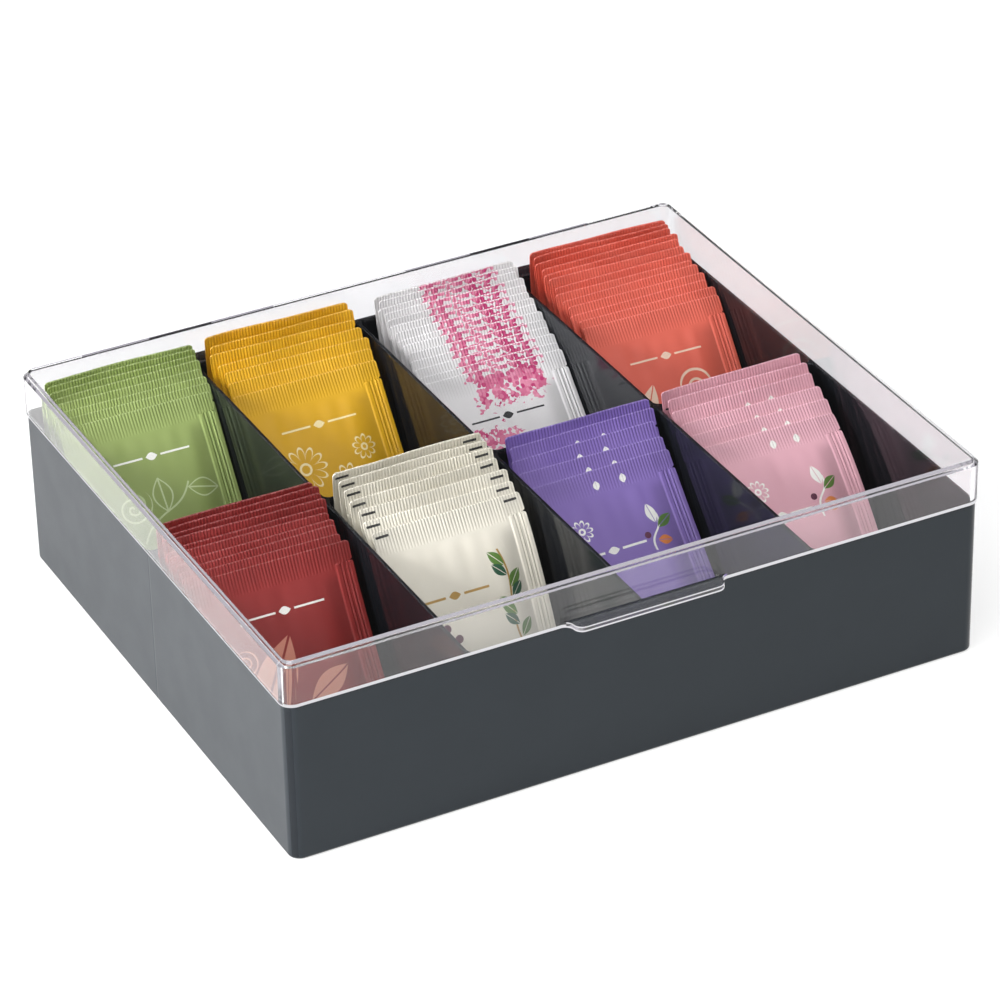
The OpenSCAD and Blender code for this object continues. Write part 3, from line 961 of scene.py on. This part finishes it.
class TEABOX_OT_lid(bpy.types.Operator):
    """Finish the clear lid with its pull lip and hinge arms"""

    bl_idname = "tea_box.lid"
    bl_label = "Lid"

    def execute(self, context):
        plastics = context.scene.tea_box_plastics
        dress("lid", clear_plastic(plastics))
        break_edges("lid", plastics.edge_break)
        return {"FINISHED"}


class TEABOX_OT_pins(bpy.types.Operator):
    """Finish the two steel hinge pins"""

    bl_idname = "tea_box.pins"
    bl_label = "Hinge Pins"

    def execute(self, context):
        steel = drawn_steel(context.scene.tea_box_plastics)
        for side in ("left", "right"):
            dress(f"hinge_pin_{side}", steel)
        return {"FINISHED"}


class TEABOX_OT_sachets(bpy.types.Operator):
    """Fill one compartment with its row of printed sachets"""

    bl_idname = "tea_box.sachets"
    bl_label = "Row of Sachets"

    row: EnumProperty(
        name="Row",
        description="Colour of the row of sachets",
        items=[(name, name.capitalize(), f"The {name} sachets") for name in ROWS],
    )

    def execute(self, context):
        sizes = context.scene.tea_box_sachets
        name = self.row
        last = ROWS[name].count - 1
        paper = printed_paper(name, tuple(getattr(context.scene.tea_box_papers, name)), sizes)
        for kind, indices, panel_rows in (("sachets", range(last), 8), ("front_sachet", [last], 30)):
            mesh = sachet_mesh(f"{name}_folded_{kind}", name, indices, sizes, panel_rows)
            mesh.materials.append(paper)
            piece = add_object(mesh.name, mesh)
            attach(piece, "box")
            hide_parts(f"{name}_{kind}")
        return {"FINISHED"}


# Points over the middle of the tray's underside that the lamps and the camera are turned to
LAMP_AIM = Vector((0, 0, 40 * MM))
CAMERA_AIM = Vector((0, 0, 45.3 * MM))

# Where each lamp stands, and its width and height
LAMPS = {
    "overhead_softbox": ((0.1, -0.5, 1.5), (1.2, 0.9)),
    "overhead_strip": ((0.35, -0.1, 1.7), (1.6, 0.16)),
    "left_softbox": ((-1.3, -0.1, 0.25), (0.4, 1.2)),
    "key_softbox": ((-0.75, -0.8, 1.5), (1.0, 0.8)),
    "back_softbox": ((-0.9, 1.3, 0.95), (0.9, 0.5)),
    "front_softbox": ((0.65, -1.2, 1.0), (1.2, 0.9)),
}


def floor_material(studio):
    """A pale floor that shows white to the camera, to gloss and through the lid, and keeps the shadow."""
    material, tree, surface = new_material("pale_floor")
    pale = studio.floor_colour
    feed(tree, surface, {"Base Color": pale, "Roughness": 0.9, "Specular IOR Level": 0.0})
    glow = add_node(tree, "ShaderNodeEmission", (1, 1, 1)).outputs[0]
    ray = add_node(tree, "ShaderNodeLightPath").outputs
    seen = math_node(tree, "MAXIMUM", ray["Is Camera Ray"], ray["Is Glossy Ray"])
    seen = math_node(tree, "MAXIMUM", seen, ray["Is Transmission Ray"])
    share = all_of(tree, seen, 0.55)
    shown = add_node(tree, "ShaderNodeMixShader", share, surface.outputs[0], glow).outputs[0]
    feed(tree, tree.nodes["Material Output"], {"Surface": shown})
    return material


def add_floor(studio):
    """A round floor under the box."""
    radius = 5.0
    drop = 0.05 * MM
    steps = 64
    turns = [2 * math.pi * k / steps for k in range(steps)]
    ring = [(radius * math.cos(turn), radius * math.sin(turn), -drop) for turn in turns]
    mesh = bpy.data.meshes.new("floor")
    mesh.from_pydata(ring, [], [list(range(steps))])
    mesh.materials.append(floor_material(studio))
    add_object("floor", mesh)


def set_world(studio):
    """A white rim at the horizon and pale studio walls, with a dark flag where the lid would mirror them."""
    world = bpy.data.worlds.new("studio")
    bpy.context.scene.world = world
    world.use_nodes = True
    tree = world.node_tree
    direction = add_node(tree, "ShaderNodeTexCoord").outputs["Generated"]
    _, _, height = split_xyz(tree, direction)
    horizon, wall_top = (math.sin(math.radians(angle)) for angle in (8, 15))
    rim = ranged(tree, height, horizon, wall_top, 1.0, studio.walls)
    a, e = studio.azimuth, studio.elevation
    flag_at = (math.sin(a) * math.cos(e), math.cos(a) * math.cos(e), math.sin(e))
    toward_flag = add_node(tree, "ShaderNodeVectorMath", direction, flag_at, operation="DOT_PRODUCT")
    outer, inner = (math.cos(math.radians(angle)) for angle in (22, 11))
    flag = ranged(tree, toward_flag.outputs["Value"], outer, inner, 1.0, 0.06)
    feed(tree, tree.nodes["Background"], {"Strength": all_of(tree, rim, flag), "Color": (1, 1, 1)})


def add_softbox(name, place, size, power):
    """A rectangular lamp at a place, turned to the middle of the box."""
    data = bpy.data.lights.new(name, "AREA")
    data.shape = "RECTANGLE"
    data.size, data.size_y = size
    data.energy = power
    lamp = add_object(name, data)
    lamp.location = place
    lamp.rotation_euler = (LAMP_AIM - Vector(place)).to_track_quat("-Z", "Y").to_euler()


def add_camera(studio):
    """The camera at the photograph's viewing angle."""
    a, e, roll = studio.azimuth, studio.elevation, studio.roll
    back = Vector((-math.sin(a) * math.cos(e), -math.cos(a) * math.cos(e), math.sin(e)))
    right = (-back).cross(Vector((0, 0, 1))).normalized()
    up = right.cross(-back)
    turned_right = math.cos(roll) * right + math.sin(roll) * up
    turned_up = math.cos(roll) * up - math.sin(roll) * right
    data = bpy.data.cameras.new("camera")
    data.sensor_width = 36.0
    data.lens = studio.lens
    data.shift_x, data.shift_y = studio.shift
    data.clip_start, data.clip_end = 0.1, 50.0
    camera = add_object("camera", data)
    turn = Matrix((turned_right, turned_up, back)).transposed()
    camera.matrix_world = Matrix.Translation(CAMERA_AIM + studio.distance * back) @ turn.to_4x4()
    bpy.context.scene.camera = camera


class TEABOX_OT_stage(bpy.types.Operator):
    """Set up the pale floor, the soft studio light and the camera"""

    bl_idname = "tea_box.stage"
    bl_label = "Studio"

    def execute(self, context):
        studio = context.scene.tea_box_studio
        add_floor(studio)
        set_world(studio)
        for name, (place, size) in LAMPS.items():
            add_softbox(name, place, size, getattr(studio, name))
        add_camera(studio)
        context.scene.view_settings.view_transform = "Standard"
        return {"FINISHED"}


class TEABOX_PT_panel(bpy.types.Panel):
    """Tea box tools in the 3D view's sidebar"""

    bl_idname = "TEABOX_PT_panel"
    bl_label = "Tea Bag Organizer Box"
    bl_space_type = "VIEW_3D"
    bl_region_type = "UI"
    bl_category = "Tea Box"

    def draw(self, context):
        column = self.layout.column()
        for operator in (TEABOX_OT_tray, TEABOX_OT_lid, TEABOX_OT_pins):
            column.operator(operator.bl_idname)
        for name in ROWS:
            column.operator(TEABOX_OT_sachets.bl_idname, text=f"{name.capitalize()} Sachets").row = name
        column.operator(TEABOX_OT_stage.bl_idname)


SETTINGS = {
    "tea_box_plastics": TeaBoxPlastics,
    "tea_box_sachets": TeaBoxSachets,
    "tea_box_papers": TeaBoxPapers,
    "tea_box_studio": TeaBoxStudio,
}
CLASSES = (
    *SETTINGS.values(),
    TEABOX_OT_tray,
    TEABOX_OT_lid,
    TEABOX_OT_pins,
    TEABOX_OT_sachets,
    TEABOX_OT_stage,
    TEABOX_PT_panel,
)


def register():
    for cls in CLASSES:
        bpy.utils.register_class(cls)
    for name, cls in SETTINGS.items():
        setattr(bpy.types.Scene, name, PointerProperty(type=cls))


def unregister():
    for name in SETTINGS:
        delattr(bpy.types.Scene, name)
    for cls in reversed(CLASSES):
        bpy.utils.unregister_class(cls)


def main():
    register()
    bpy.ops.tea_box.tray()
    bpy.ops.tea_box.lid()
    bpy.ops.tea_box.pins()
    for name in ROWS:
        bpy.ops.tea_box.sachets(row=name)
    bpy.ops.tea_box.stage()
    bpy.context.view_layer.update()


if __name__ == "__main__":
    main()
